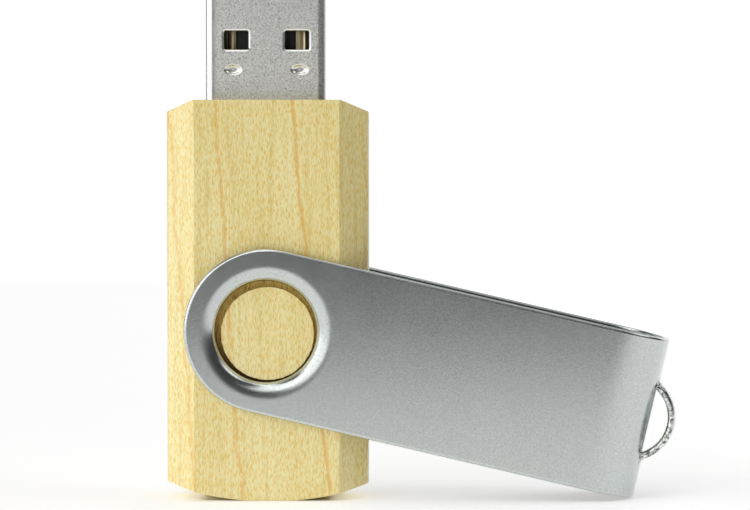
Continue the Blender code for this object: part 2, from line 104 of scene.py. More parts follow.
# Plug
SHELL_SHEET = 0.3 * MM
SHELL_CORNER = 0.7 * MM
WINDOW = Vector((2.4, 0.0, 1.85)) * MM
WINDOW_CORNER = 0.16 * MM
WINDOW_X = 3.06 * MM
PRESSING_SHIFT_X = 0.14 * MM
WINDOW_FROM_TIP = 6.1 * MM
DIMPLE_X = 3.36 * MM
DIMPLE_LENGTH = 1.95 * MM
DIMPLE_HEIGHT = 1.2 * MM
DIMPLE_DEPTH = 0.24 * MM
DIMPLE_FROM_TIP = 9.05 * MM
SEAM_GAP = 0.07 * MM
SEAM_LOCK_FROM_TIP = 6.5 * MM
SHELL_RIM = 0.04 * MM
WINDOW_RIM = 0.26 * MM
CONTACTS = ("contact_vbus", "contact_data_minus", "contact_data_plus", "contact_ground")
CONTACT_SHEET = 0.25 * MM
CONTACT_CROWN = 0.18 * MM
JOG_TOP = 38.0 * MM                     # where each contact steps forward to the board
JOG_BOTTOM = 36.8 * MM
CHANNEL_GAP = 0.06 * MM                 # on each side of a contact, in the black moulding
CHANNEL_DEPTH = 1.6 * MM
BLOCK_FROM_TIP = 10.85 * MM             # the moulding's thick rear block

# Studio
TABLE_EDGES = (-0.235, -0.45, 0.30, 0.60)           # front, left, right and back
TABLE_DROP = 0.02 * MM                  # keeps the table clear of the body's flat
UNLIT_HALF_MM = (6.0, 4.0)              # the patch under the body that gets no light from below: a painted contact shadow
FLOOR_GLOW = 0.33
CAMERA_PLACE = Vector((14.09, -340.0, 33.89)) * MM
CAMERA_LENS = 160.7                     # mm, on a 36 mm sensor
CAMERA_DIP = 1.576                      # degrees below level
CAMERA_TURN = 0.553                     # degrees towards -X
SKY_LEVEL = 0.05
SKY_PATCHES = [                         # level, azimuths, elevations and softness, in degrees
    (1.75, (-400.0, 400.0), (74.0, 110.0), 8.0),        # overhead diffuser
    (1.65, (-110.0, -48.0), (-3.0, 42.0), 8.0),         # key softbox on the left
    (1.4, (-48.0, -11.0), (-3.0, 34.0), 6.0),           # its dimmer edge, towards the front
    (1.4, (-44.0, 8.0), (28.0, 74.0), 9.0),             # its upper end, over the front
    (1.35, (50.0, 115.0), (34.0, 66.0), 10.0),          # weak fill, high on the right
    (1.0, (128.0, 245.0), (-5.0, 46.0), 9.0),           # white wall, behind on the right
    (0.45, (-245.0, -125.0), (-2.0, 46.0), 10.0),       # dimmer wall, behind on the left
]


# ---------------------------------------------------------------- mesh helpers

def add_object(name, data):
    """Link a new object made from the bmesh, and free the bmesh."""
    bmesh.ops.recalc_face_normals(data, faces=data.faces)
    mesh = bpy.data.meshes.new(name)
    data.to_mesh(mesh)
    data.free()
    item = bpy.data.objects.new(name, mesh)
    bpy.context.scene.collection.objects.link(item)
    mesh.shade_smooth()
    return item


def rectangle(width, height, centre=(0.0, 0.0)):
    x, y = centre
    return [(x - width / 2, y - height / 2), (x + width / 2, y - height / 2),
            (x + width / 2, y + height / 2), (x - width / 2, y + height / 2)]


def rounded_outline(corners, radius, steps):
    """A closed outline of 2-D corner points, with every corner rounded."""
    outline = []
    count = len(corners)
    for index, corner in enumerate(corners):
        here = Vector(corner)
        to_last = (Vector(corners[index - 1]) - here).normalized()
        to_next = (Vector(corners[(index + 1) % count]) - here).normalized()
        half_angle = to_last.angle(to_next) / 2.0
        centre = here + (to_last + to_next).normalized() * (radius / math.sin(half_angle))
        first = here + to_last * (radius / math.tan(half_angle)) - centre
        last = here + to_next * (radius / math.tan(half_angle)) - centre
        sweep = first.angle(last)
        for step in range(steps + 1):
            part = step / steps
            outline.append(centre + (first * math.sin((1.0 - part) * sweep)
                                     + last * math.sin(part * sweep)) / math.sin(sweep))
    return outline


def prism(name, outline, low, high, along):
    """A closed solid: the outline pulled from low to high along the named axis."""
    place = {"X": lambda a, b, c: (c, a, b),
             "Y": lambda a, b, c: (a, c, b),
             "Z": lambda a, b, c: (a, b, c)}[along]
    data = bmesh.new()
    rings = [[data.verts.new(place(a, b, level)) for a, b in outline] for level in (low, high)]
    data.faces.new(rings[0])
    data.faces.new(rings[1])
    for index in range(len(outline)):
        after = (index + 1) % len(outline)
        data.faces.new((rings[0][index], rings[0][after], rings[1][after], rings[1][index]))
    return add_object(name, data)


def apply_modifiers(item):
    """Replace the object's mesh with its evaluated one."""
    graph = bpy.context.evaluated_depsgraph_get()
    mesh = bpy.data.meshes.new_from_object(item.evaluated_get(graph))
    item.modifiers.clear()
    item.data = mesh


def cut(item, tools, operation="DIFFERENCE"):
    """Boolean the item with each tool in turn, and remove the tools."""
    for tool in tools:
        modifier = item.modifiers.new(tool.name, "BOOLEAN")
        modifier.operation = operation
        modifier.solver = "EXACT"
        modifier.object = tool
    apply_modifiers(item)
    for tool in tools:
        bpy.data.objects.remove(tool)


def soften_edges(item, width, degrees, segments=3):
    """Round every edge sharper than the angle, and keep flat faces looking flat."""
    bevel = item.modifiers.new("softened_edges", "BEVEL")
    bevel.width = width
    bevel.segments = segments
    bevel.limit_method = "ANGLE"
    bevel.angle_limit = math.radians(degrees)
    bevel.use_clamp_overlap = False
    bevel.harden_normals = True
    bevel.miter_outer = "MITER_ARC"
    apply_modifiers(item)
    item.data.shade_smooth()


def weighted_bevel(item, widest, degrees, width_at, segments, **settings):
    """Round each edge sharper than the angle by what width_at gives for its two ends."""
    data = bmesh.new()
    data.from_mesh(item.data)
    data.normal_update()
    weights = data.edges.layers.float.new("bevel_weight_edge")
    for edge in data.edges:
        if len(edge.link_faces) == 2 and edge.calc_face_angle() >= math.radians(degrees):
            first, last = (vertex.co for vertex in edge.verts)
            edge[weights] = width_at(first, last) / widest
    data.to_mesh(item.data)
    data.free()
    bevel = item.modifiers.new("weighted_bevel", "BEVEL")
    bevel.limit_method = "WEIGHT"
    bevel.width = widest
    bevel.segments = segments
    for key, value in settings.items():
        setattr(bevel, key, value)
    apply_modifiers(item)


def even_shading(item):
    """Let large flat faces set the normals, so only the rounded edges look rounded."""
    item.data.shade_smooth()
    weighted = item.modifiers.new("even_shading", "WEIGHTED_NORMAL")
    weighted.mode = "FACE_AREA"
    weighted.weight = 80
    apply_modifiers(item)


# ---------------------------------------------------------------- node helpers

class Recipe:
    """A material's node tree, built with short calls."""

    def __init__(self, name):
        self.material = bpy.data.materials.new(name)
        self.material.use_nodes = True
        self.tree = self.material.node_tree
        self.shader = self.tree.nodes["Principled BSDF"]

    def add(self, kind, inputs=None, **settings):
        """A new node, with its settings made and its inputs fed."""
        node = self.tree.nodes.new("ShaderNode" + kind)
        for key, value in settings.items():
            setattr(node, key, value)
        for key, value in (inputs or {}).items():
            self.feed(node.inputs[key], value)
        return node

    def feed(self, socket, value):
        """Link the value to the socket if it is an output, or else set it."""
        if isinstance(value, bpy.types.NodeSocket):
            self.tree.links.new(value, socket)
        else:
            socket.default_value = value

    def set(self, **inputs):
        """Feed the shader's inputs, with _ for each space in their names."""
        for key, value in inputs.items():
            self.feed(self.shader.inputs[key.replace("_", " ")], value)

    def math(self, operation, *values):
        node = self.add("Math", operation=operation)
        for socket, value in zip(node.inputs, values):
            self.feed(socket, value)
        return node.outputs[0]

    def place(self, scale, location=(0.0, 0.0, 0.0), rotation=(0.0, 0.0, 0.0)):
        """The piece's own coordinates, multiplied by scale: 1000 is one unit per millimetre."""
        source = self.add("TexCoord").outputs["Object"]
        mapping = self.add("Mapping", {"Vector": source, "Scale": scale, "Location": location,
                                       "Rotation": rotation})
        return mapping.outputs[0]

    def noise(self, vector, detail=2.0, roughness=0.5):
        node = self.add("TexNoise", {"Vector": vector, "Scale": 1.0, "Detail": detail,
                                     "Roughness": roughness})
        return node.outputs["Fac"]

    def ramp(self, factor, stops):
        """A colour ramp; each stop is a place and a grey level or a colour."""
        node = self.add("ValToRGB", {"Fac": factor})
        elements = node.color_ramp.elements
        while len(elements) < len(stops):
            elements.new(0.5)
        for element, (position, colour) in zip(elements, stops):
            element.position = position
            level = colour if isinstance(colour, tuple) else (colour, colour, colour)
            element.color = (*level, 1.0)
        return node.outputs["Color"]

    def mix(self, factor, first, second, blend="MIX"):
        node = self.add("Mix", data_type="RGBA", blend_type=blend)
        self.feed(node.inputs[0], factor)
        self.feed(node.inputs[6], first if not isinstance(first, tuple) else (*first, 1.0))
        self.feed(node.inputs[7], second if not isinstance(second, tuple) else (*second, 1.0))
        return node.outputs[2]

    def bump(self, height, strength, distance):
        inputs = {"Height": height, "Strength": strength, "Distance": distance}
        return self.add("Bump", inputs).outputs[0]


def per_mm(x, y=None, z=None):
    """A mapping scale of so many texture units per millimetre along each axis."""
    return (x * 1000, (x if y is None else y) * 1000, (x if z is None else z) * 1000)


# Noise is flat where its lattice meets a face, so fine grain is shifted and turned off it.
OFF_GRID = {"location": (0.37, 0.41, 0.23), "rotation": (0.4, 0.3, 0.6)}


# ---------------------------------------------------------------- materials

def maple():
    """Pale maple: short tan flecks along Z, faint fibres and a few growth-ring lines."""
    recipe = Recipe("maple")
    off_grid = {"location": (0.37, 0.41, 0.23), "rotation": (0.0, 0.0, 0.6)}
    broad = recipe.noise(recipe.place(per_mm(0.30, 0.30, 0.05), **off_grid), detail=3.0)
    fibres = recipe.noise(recipe.place(per_mm(2.4, 2.4, 0.10), **off_grid), detail=3.0,
                          roughness=0.6)
    grain = recipe.noise(recipe.place(per_mm(12.0, 12.0, 2.1), **off_grid), detail=1.0,
                         roughness=0.5)
    rays = recipe.add("TexVoronoi", {"Vector": recipe.place(per_mm(5.6, 5.6, 1.7), **off_grid),
                                     "Scale": 1.0}).outputs["Distance"]
    flecks = recipe.math("MULTIPLY_ADD", recipe.math("SUBTRACT", 0.48, rays), 0.16, grain)

    base = recipe.ramp(broad, [(0.30, (0.875, 0.730, 0.290)), (0.52, (0.915, 0.785, 0.345)),
                               (0.72, (0.940, 0.830, 0.410))])
    shade = recipe.ramp(fibres, [(0.30, (0.90, 0.86, 0.74)), (0.50, (1.0, 1.0, 1.0)),
                                 (0.72, (1.04, 1.06, 1.14))])
    colour = recipe.mix(1.0, base, shade, "MULTIPLY")
    tan = recipe.ramp(flecks, [(0.48, 0.0), (0.72, 0.82)])
    colour = recipe.mix(tan, colour, (0.76, 0.48, 0.060))
    pale = recipe.ramp(flecks, [(0.30, 0.60), (0.46, 0.0)])
    colour = recipe.mix(pale, colour, (0.93, 0.88, 0.56))

    colour = recipe.mix(ring_lines(recipe), colour, (0.80, 0.38, 0.012))
    # The groove's mask, where the scorch browns and their painted shade go.
    burn_and_shade = burnt_groove(recipe)
    colour = recipe.mix(burn_and_shade, colour, scorch_and_shade(recipe))

    recipe.set(Base_Color=colour, Roughness=recipe.ramp(flecks, [(0.3, 0.40), (0.7, 0.56)]),
               Normal=recipe.bump(flecks, 0.30, -0.03 * MM))
    recipe.shader.inputs["Specular IOR Level"].default_value = 0.35
    recipe.set(Coat_Weight=recipe.math("MULTIPLY_ADD", burn_and_shade, -0.9, 1.0))
    recipe.shader.inputs["Coat Roughness"].default_value = 0.26
    return recipe.material


def ring_lines(recipe):
    """Strength of the growth-ring lines, which lean towards +X on their way down."""
    axes = recipe.add("SeparateXYZ", {"Vector": recipe.place(per_mm(1.0))})
    x, y, z = axes.outputs
    fall = recipe.math("SUBTRACT", z, 39.0)
    slope = recipe.math("MULTIPLY_ADD", x, 0.0034, 0.0753)
    place = recipe.math("MULTIPLY_ADD", fall, slope, x)
    place = recipe.math("MULTIPLY_ADD", recipe.math("ADD", y, 5.0), 0.27, place)
    slow = recipe.noise(recipe.place(per_mm(0.30, 0.30, 0.16)), detail=1.0)
    quick = recipe.noise(recipe.place(per_mm(1.6, 1.6, 0.9)), detail=2.0)
    place = recipe.math("MULTIPLY_ADD", slow, 0.9, recipe.math("SUBTRACT", place, 0.45))
    place = recipe.math("MULTIPLY_ADD", quick, 0.5, recipe.math("SUBTRACT", place, 0.25))
    fine = recipe.noise(recipe.place(per_mm(3.2, 3.2, 2.2), rotation=(0.0, 0.0, 0.6)), detail=1.0)
    place = recipe.math("MULTIPLY_ADD", fine, 0.22, recipe.math("SUBTRACT", place, 0.11))
    stops = [(0.0, 0.0)]
    for line, strength in RING_LINES:
        centre = line / RING_SPAN + 0.5
        stops += [(centre - 0.08 / RING_SPAN, 0.0), (centre - 0.03 / RING_SPAN, strength),
                  (centre + 0.05 / RING_SPAN, strength), (centre + 0.17 / RING_SPAN, 0.0)]
    lines = recipe.ramp(recipe.math("MULTIPLY_ADD", place, 1.0 / RING_SPAN, 0.5), stops)
    broken = recipe.ramp(recipe.noise(recipe.place(per_mm(1.8, 1.8, 0.8)), detail=3.0),
                         [(0.34, 0.35), (0.50, 1.0)])
    return recipe.math("MULTIPLY", lines, broken)


def scorch_and_shade(recipe):
    """Browns of the tool-scorched groove, streaked along the grain, times a painted shade that
    darkens it towards the bottom and a little towards the left.
    """
    streaks = recipe.noise(recipe.place(per_mm(5.0, 5.0, 1.2)), detail=3.0)
    brown = recipe.ramp(streaks, [(0.32, (0.46, 0.29, 0.040)), (0.50, (0.85, 0.63, 0.15)),
                                  (0.68, (0.95, 0.81, 0.30))])
    # Painted shade: a ramp across the boss, darkest at the bottom and lighter towards the top and
    # right.
    axes = recipe.add("SeparateXYZ", {"Vector": recipe.place(per_mm(1.0))}).outputs
    across = recipe.math("SUBTRACT", axes["X"], BOSS_CENTRE.x / MM)
    height = recipe.math("SUBTRACT", axes["Z"], BOSS_CENTRE.z / MM)
    lean = recipe.math("MULTIPLY_ADD", across, 0.25, height)
    burn_and_shade = recipe.ramp(recipe.math("MULTIPLY_ADD", lean, 0.1, 0.5),
                        [(0.05, (0.14, 0.08, 0.04)), (0.20, (0.32, 0.22, 0.12)),
                         (0.50, (0.88, 0.74, 0.58)), (0.70, (1.0, 0.94, 0.84))])
    return recipe.mix(1.0, brown, burn_and_shade, "MULTIPLY")


def burnt_groove(recipe):
    """1 inside the ring cut round each boss, where the tool has scorched the wood."""
    axes = recipe.add("SeparateXYZ", {"Vector": recipe.place(per_mm(1.0))})
    x = recipe.math("SUBTRACT", axes.outputs["X"], BOSS_CENTRE.x / MM)
    z = recipe.math("SUBTRACT", axes.outputs["Z"], BOSS_CENTRE.z / MM)
    radius = recipe.math("SQRT", recipe.math("ADD", recipe.math("MULTIPLY", x, x),
                                             recipe.math("MULTIPLY", z, z)))
    ragged = recipe.noise(recipe.place(per_mm(3.0)), detail=3.0)
    radius = recipe.math("ADD", radius, recipe.math("MULTIPLY", ragged, 0.25))
    inside = recipe.math("LESS_THAN", radius, GROOVE_RADIUS / MM + 0.25)
    depth = recipe.math("ABSOLUTE", axes.outputs["Y"])
    below = recipe.ramp(recipe.math("SUBTRACT", 5.0, depth), [(0.03, 0.0), (0.14, 1.0)])
    return recipe.math("MULTIPLY", inside, below)


def satin_plate(name, painted_shade_tone):
    """The clip: bead-blasted sheet with satin nickel plating, and a darker copy of it for painted
    shade on the sheet's inner faces.
    """
    recipe = Recipe(name)
    grain = recipe.noise(recipe.place(per_mm(6.5), **OFF_GRID), detail=1.0, roughness=0.6)
    cloud = recipe.noise(recipe.place(per_mm(0.25)), detail=3.0)
    colour = recipe.ramp(grain, [(place, tuple(channel * painted_shade_tone for channel in level))
                                 for place, level in ((0.30, (0.515, 0.546, 0.534)),
                                                      (0.50, (0.585, 0.618, 0.605)),
                                                      (0.70, (0.655, 0.690, 0.675)))])
    roughness = recipe.math("ADD", recipe.math("MULTIPLY", cloud, 0.05),
                            recipe.math("ADD", recipe.math("MULTIPLY", grain, 0.04), 0.155))
    recipe.set(Base_Color=colour, Metallic=1.0, Roughness=roughness,
               Normal=recipe.bump(grain, 0.30, 0.004 * MM))
    return recipe.material


def sheared_edge():
    """The keyring loop's two edges, torn by the tool that cuts the strip free."""
    recipe = Recipe("sheared_edge")
    tears = recipe.noise(recipe.place(per_mm(2.6), **OFF_GRID), detail=3.0, roughness=0.7)
    colour = recipe.ramp(tears, [(0.38, (0.13, 0.14, 0.13)), (0.46, (0.50, 0.53, 0.51)),
                                 (0.56, (0.86, 0.89, 0.87))])
    recipe.set(Base_Color=colour, Metallic=1.0,
               Roughness=recipe.ramp(tears, [(0.3, 0.38), (0.7, 0.20)]),
               Normal=recipe.bump(tears, 0.6, 0.05 * MM))
    return recipe.material


def matt_nickel():
    """The plug's shell: rolled sheet with a coarse matt nickel plating, pitted all over, with a
    painted highlight on its left bend and painted shade on its right bend.
    """
    recipe = Recipe("matt_nickel")
    pits = recipe.noise(recipe.place(per_mm(6.0), **OFF_GRID), detail=3.0, roughness=0.8)
    blotch = recipe.noise(recipe.place(per_mm(0.5)), detail=2.0)
    colour = recipe.ramp(pits, [(0.33, (0.26, 0.26, 0.24)), (0.42, (0.62, 0.62, 0.59)),
                                (0.52, (0.79, 0.79, 0.755)), (0.66, (0.95, 0.95, 0.92))])
    roughness = recipe.math("MULTIPLY_ADD", blotch, 0.12, 0.38)
    x = recipe.add("SeparateXYZ", {"Vector": recipe.place(per_mm(1.0))}).outputs["X"]
    # Painted highlight on the left bend: its colour is made lighter there, and its finish
    # smoother and less pitted.
    polish_and_highlight = recipe.ramp(recipe.math("MULTIPLY_ADD", x, 0.1, 1.0), [(0.445, 1.0), (0.495, 0.0)])
    colour = recipe.mix(polish_and_highlight, colour, (0.86, 0.86, 0.83))
    # Painted shade on the right bend: the colour is darkened to 0.7 beyond x = 5.2 mm.
    painted_right_shade = recipe.ramp(recipe.math("MULTIPLY", x, 0.1), [(0.500, 1.0), (0.520, 0.70)])
    colour = recipe.mix(1.0, colour, painted_right_shade, "MULTIPLY")
    pits = recipe.mix(polish_and_highlight, pits, (0.5, 0.5, 0.5))
    roughness = recipe.math("MULTIPLY_ADD", polish_and_highlight, -0.18, roughness)
    recipe.set(Base_Color=colour, Metallic=1.0, Roughness=roughness,
               Normal=recipe.bump(pits, 0.75, 0.02 * MM))
    return recipe.material


def burnished_nickel():
    """The same plating where the press tools have rubbed it smooth."""
    recipe = Recipe("burnished_nickel")
    grain = recipe.noise(recipe.place(per_mm(3.0)), detail=3.0)
    colour = recipe.ramp(grain, [(0.3, (0.82, 0.82, 0.79)), (0.7, (0.92, 0.92, 0.89))])
    recipe.set(Base_Color=colour, Metallic=1.0,
               Roughness=recipe.ramp(grain, [(0.3, 0.26), (0.7, 0.34)]),
               Normal=recipe.bump(grain, 0.2, 0.006 * MM))
    return recipe.material


def moulded(name, colour, roughness, grain_per_mm=6.0, depth=0.006 * MM):
    """Moulded plastic or resin with a fine eroded texture."""
    recipe = Recipe(name)
    grain = recipe.noise(recipe.place(per_mm(grain_per_mm)), detail=3.0)
    darker = tuple(channel * 0.8 for channel in colour)
    recipe.set(Base_Color=recipe.ramp(grain, [(0.3, darker), (0.7, colour)]),
               Roughness=recipe.ramp(grain, [(0.3, roughness - 0.05), (0.7, roughness + 0.08)]),
               Normal=recipe.bump(grain, 0.3, depth))
    return recipe.material


def gold_flash():
    """Contacts: stamped copper alloy under a thin gold flash, drawn along Z."""
    recipe = Recipe("gold_flash")
    drawn = recipe.noise(recipe.place(per_mm(9.0, 9.0, 0.8)), detail=3.0)
    colour = recipe.ramp(drawn, [(0.3, (0.80, 0.66, 0.36)), (0.7, (0.95, 0.84, 0.52))])
    recipe.set(Base_Color=colour, Metallic=1.0,
               Roughness=recipe.ramp(drawn, [(0.3, 0.28), (0.7, 0.38)]),
               Normal=recipe.bump(drawn, 0.2, 0.004 * MM))
    return recipe.material


def plated_can():
    """The crystal's drawn can, with a bright nickel plating."""
    recipe = Recipe("plated_can")
    grain = recipe.noise(recipe.place(per_mm(6.0, 6.0, 1.5)), detail=2.0)
    colour = recipe.ramp(grain, [(0.3, (0.58, 0.57, 0.54)), (0.7, (0.70, 0.69, 0.66))])
    recipe.set(Base_Color=colour, Metallic=1.0,
               Roughness=recipe.ramp(grain, [(0.3, 0.24), (0.7, 0.36)]))
    return recipe.material


def solder_mask():
    """The board: green mask over a glass weave, with paler tracks showing through."""
    recipe = Recipe("solder_mask")
    on_face = recipe.place(per_mm(1.0), rotation=(math.pi / 2, 0, 0))
    tracks = recipe.add("TexBrick", {"Vector": on_face, "Scale": 0.8, "Mortar Size": 0.06,
                                     "Color1": (0.020, 0.130, 0.055, 1.0),
                                     "Color2": (0.022, 0.145, 0.060, 1.0),
                                     "Mortar": (0.045, 0.230, 0.100, 1.0)})
    grain = recipe.noise(recipe.place(per_mm(4.0)))
    recipe.set(Base_Color=tracks.outputs["Color"],
               Roughness=recipe.ramp(grain, [(0.3, 0.32), (0.7, 0.45)]))
    return recipe.material


# ---------------------------------------------------------------- wooden body

def arc_height(from_centre):
    """How far the lower end's arc has risen at this distance from its middle."""
    return BASE_RADIUS - math.sqrt(BASE_RADIUS ** 2 - from_centre ** 2)


def body_front_outline(half, height, steps=72):
    """The body seen from the front: rounded below, with a small flat, and sloped above."""
    lift = arc_height(BASE_FLAT / 2)
    left, right = [], []
    for step in range(steps + 1):
        x = -half + 2 * half * step / steps
        from_centre = x - BASE_CENTRE_X
        if abs(from_centre) > BASE_FLAT / 2:
            side = left if from_centre < 0 else right
            side.append((x, arc_height(from_centre) - lift))
    flat = [(BASE_CENTRE_X - BASE_FLAT / 2, 0.0), (BASE_CENTRE_X + BASE_FLAT / 2, 0.0)]
    shoulder = height - TOP_CORNER_DROP
    top = [(half, shoulder), (half - TOP_CORNER_RUN, height),
           (-half + TOP_CORNER_RUN, height), (-half, shoulder)]
    return left + flat + right + top


def groove_ring(name, side, surface, steps=300):
    """The ring cut away round one boss, with a slightly ragged inner wall."""
    floor = surface - side * GROOVE_DEPTH
    beyond = surface + side * MM
    data = bmesh.new()
    rings = []
    for step in range(steps):
        angle = 2.0 * math.pi * step / steps
        point = Vector((9.0 * math.cos(angle), 9.0 * math.sin(angle), 5.0 * side))
        ragged = (0.05 * noise.noise(point) + 0.04 * noise.noise(3.0 * point)) * MM
        inner = BOSS_RADIUS + ragged
        rings.append([data.verts.new((radius * math.cos(angle), y, radius * math.sin(angle)))
                      for radius, y in ((inner, floor), (GROOVE_RADIUS, floor),
                                        (GROOVE_RADIUS, beyond), (inner, beyond))])
    for step in range(steps):
        here, after = rings[step], rings[(step + 1) % steps]
        for index in range(4):
            following = (index + 1) % 4
            data.faces.new((here[index], here[following], after[following], after[index]))
    ring = add_object(name, data)
    ring.location = BOSS_CENTRE
    return ring


def round_block(body, depth):
    """Round the block's edges: softly down the chamfers, tightly round the ends."""
    def width_at(first, last):
        if (first - last).to_2d().length >= 0.001 * MM:
            return END_EDGE
        return FACE_EDGE if abs(first.y) > depth - 0.01 * MM else SIDE_EDGE

    weighted_bevel(body, SIDE_EDGE, 15.0, width_at, 6)


def make_wood():
    """The block with its chamfers, the plug's pocket and the ring round each boss."""
    low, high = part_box("wooden_body")
    half, depth, height = high.x, high.y, high.z
    body = prism("maple_block", body_front_outline(half, height), -depth - MM, depth + MM, "Y")
    x, y, chamfer = half, depth, LONG_EDGE_CHAMFER
    section = [(-x + chamfer, -y), (x - chamfer, -y), (x, -y + chamfer), (x, y - chamfer),
               (x - chamfer, y), (-x + chamfer, y), (-x, y - chamfer), (-x, -y + chamfer)]
    cut(body, [prism("section_guide", section, -MM, height + MM, "Z")], "INTERSECT")
    round_block(body, depth)
    shell_low, shell_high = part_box("usb_shell")
    middle = ((shell_low.x + shell_high.x) / 2, (shell_low.y + shell_high.y) / 2)
    mouth = rectangle(shell_high.x - shell_low.x + 2 * MOUTH_GAP,
                      shell_high.y - shell_low.y + 2 * MOUTH_GAP, middle)
    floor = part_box("epoxy_anchor")[0].z - 0.3 * MM
    cut(body, [prism("pocket", rounded_outline(mouth, SHELL_CORNER + MOUTH_GAP, 8), floor,
                     height + MM, "Z"),
               groove_ring("front_groove", -1, -depth), groove_ring("back_groove", 1, depth)])
    soften_edges(body, CUT_EDGE, 55.0, segments=2)
    even_shading(body)
    body.data.materials.clear()
    body.data.materials.append(maple())
    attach(body, "drive")
    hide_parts("wooden_body")


# ---------------------------------------------------------------- swivel clip

FOLD_X = CLIP_REACH - SHEET / 2 - FOLD_DEPTH
HALF_WIDTH = CLIP_WIDTH / 2
LOOP_STEPS = 32
FOLD_STEPS = 32
EYE_STEPS = 36


def width_lines():
    """Places across the clip's width for its vertices, closest together at the loop."""
    loop = [LOOP_LOW + (LOOP_HIGH - LOOP_LOW) * step / LOOP_STEPS
            for step in range(LOOP_STEPS + 1)]
    below = [-HALF_WIDTH + (LOOP_LOW + HALF_WIDTH) * step / 6 for step in range(6)]
    above = [LOOP_HIGH + (HALF_WIDTH - LOOP_HIGH) * step / 6 for step in range(1, 7)]
    return below + loop + above


def fold_angles():
    """Angles round the fold: up to the loop's slits, over the loop, and on to the back."""
    half_slot = LOOP_WIDTH / 2 + LOOP_RELIEF
    across = [-half_slot] + [-LOOP_WIDTH / 2 + LOOP_WIDTH * step / 6 for step in range(7)]
    edges = [math.asin((LOOP_OFFSET_Y + shift) / ARM_Y) for shift in across + [half_slot]]
    front = [-math.pi / 2 + (edges[0] + math.pi / 2) * step / FOLD_STEPS
             for step in range(FOLD_STEPS)]
    back = [edges[-1] + (math.pi / 2 - edges[-1]) * step / FOLD_STEPS
            for step in range(1, FOLD_STEPS + 1)]
    return front, edges, back


def loop_rise(across):
    """How far the loop's strip stands out of the fold, as an arc of a circle."""
    half = (LOOP_HIGH - LOOP_LOW) / 2
    offset = across - (LOOP_HIGH + LOOP_LOW) / 2
    radius = (half ** 2 + LOOP_RISE ** 2) / (2 * LOOP_RISE)
    return math.sqrt(max(radius ** 2 - offset ** 2, 0.0)) - (radius - LOOP_RISE)


def add_band(data, angles, rises, across):
    """Part of the fold's sheet, standing out as the keyring loop where it rises."""
    columns = []
    for angle in angles:
        reach = FOLD_X + FOLD_DEPTH * max(math.cos(angle), 0.0) ** FOLD_POWER
        columns.append([data.verts.new((reach + (loop_rise(z) if rises else 0.0),
                                        ARM_Y * math.sin(angle), z)) for z in across])
    for here, after in zip(columns, columns[1:]):
        for index in range(len(across) - 1):
            data.faces.new((here[index], here[index + 1], after[index + 1], after[index]))


def add_fold(data):
    """The fold, slit on both sides of the strip that is pushed out as the loop."""
    front, slot, back = fold_angles()
    lines = width_lines()
    slack = 1e-9
    add_band(data, front + slot[:1], False, lines)
    add_band(data, slot[-1:] + back, False, lines)
    add_band(data, slot[1:-1], True,
             [z for z in lines if LOOP_LOW - slack <= z <= LOOP_HIGH + slack])
    add_band(data, slot, False, [z for z in lines if z <= LOOP_LOW + slack])
    add_band(data, slot, False, [z for z in lines if z >= LOOP_HIGH - slack])


def dish_offset(radius):
    """How far the sheet is pressed towards the body, this far from the hole's middle."""
    if radius >= DISH_RADIUS:
        return 0.0
    part = (radius - HOLE_RADIUS) / (DISH_RADIUS - HOLE_RADIUS)
    in_lip = max(1.0 - (radius - HOLE_RADIUS) / LIP_WIDTH, 0.0)
    return DISH_DEPTH * (1.0 - part) ** DISH_CURVE + LIP_DEPTH * in_lip ** 2


def eye_outline():
    """The clip's outline round the hole: its rounded end and a square towards the arm."""
    round_end = []
    for step in range(2 * EYE_STEPS + 1):
        angle = math.pi / 2 + math.pi * step / (2 * EYE_STEPS)
        round_end.append((HALF_WIDTH * math.cos(angle), HALF_WIDTH * math.sin(angle)))
    straight = [HALF_WIDTH * step / 14 for step in range(1, 14)]
    return (round_end + [(x, -HALF_WIDTH) for x in straight]
            + [(HALF_WIDTH, z) for z in width_lines()]
            + [(x, HALF_WIDTH) for x in reversed(straight)])


def add_eye(data, side):
    """The sheet round one arm's hole, dished towards the body."""
    dish = DISH_RADIUS - HOLE_RADIUS
    radii = [HOLE_RADIUS + dish * (step / DISH_RINGS) ** DISH_CROWDING
             for step in range(DISH_RINGS + 1)] + [DISH_RADIUS + 0.2 * MM]
    outline = eye_outline()
    rings = []
    for radius in radii:
        y = side * (ARM_Y - dish_offset(radius))
        centre = HOLE_SHIFT + DISH_SHIFT * ((radius - HOLE_RADIUS) / dish)
        rings.append([data.verts.new((centre.x + radius * x / math.hypot(x, z), y,
                                      centre.z + radius * z / math.hypot(x, z)))
                      for x, z in outline])
    rings.append([data.verts.new((x, side * ARM_Y, z)) for x, z in outline])
    for inner, outer in zip(rings, rings[1:]):
        for index in range(len(outline)):
            after = (index + 1) % len(outline)
            data.faces.new((inner[index], inner[after], outer[after], outer[index]))


def add_arm(data, side, stations=8):
    """One flat arm, from the square round its hole to the fold."""
    lines = width_lines()
    columns = [[data.verts.new((HALF_WIDTH + (FOLD_X - HALF_WIDTH) * step / stations,
                                side * ARM_Y, z)) for z in lines]
               for step in range(stations + 1)]
    for here, after in zip(columns, columns[1:]):
        for index in range(len(lines) - 1):
            data.faces.new((here[index], here[index + 1], after[index + 1], after[index]))


def round_rims(clip):
    """Round the sheet's edges: widely outside and tightly round the holes."""
    def width_at(first, last):
        from_hole = (first + last) / 2 - HOLE_SHIFT
        return HOLE_RIM if math.hypot(from_hole.x, from_hole.z) < DISH_RADIUS else RIM_ROUND

    weighted_bevel(clip, RIM_ROUND, 50.0, width_at, 4, use_clamp_overlap=False,
                   harden_normals=True, miter_outer="MITER_ARC")
    clip.data.shade_smooth()


